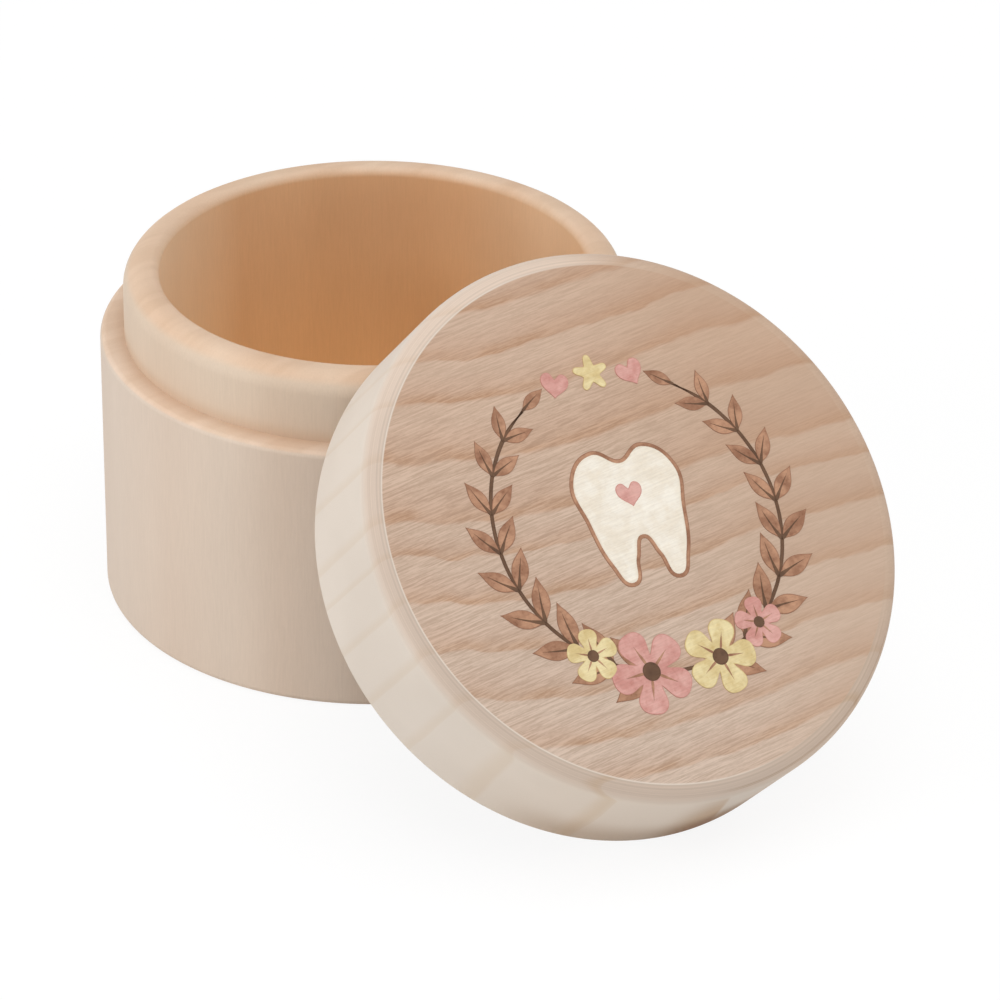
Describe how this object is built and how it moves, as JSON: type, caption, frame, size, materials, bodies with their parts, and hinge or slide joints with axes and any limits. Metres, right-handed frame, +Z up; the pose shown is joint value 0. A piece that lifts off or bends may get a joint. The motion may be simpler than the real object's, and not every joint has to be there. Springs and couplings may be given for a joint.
{
  "type": "baby tooth box",
  "caption": "Round turned wooden keepsake box for baby teeth: a cup with a stepped rim and plain bore, and its slip-over lid, taken off and leaning on the cup.",
  "frame": {"origin": "centre of the cup's underside, on the surface that it stands on", "axes": "+Z up along the cup's axis; the lid leans on the -Y side, with its face towards -Y and +Z"},
  "size_m": [0.05, 0.0856, 0.0428],
  "materials": {
    "base_wood": "sanded, satin oil",
    "lid_wood": "sanded, satin oil"
  },
  "bodies": {
    "base": {"box_base": "base_wood"},
    "lid": {"lid": "lid_wood"}
  },
  "joints": [
    {"name": "lid_lift", "type": "slide", "parent": "base", "child": "lid", "axis": [0, 0, 1], "range_m": [0, 0.04]}
  ]
}
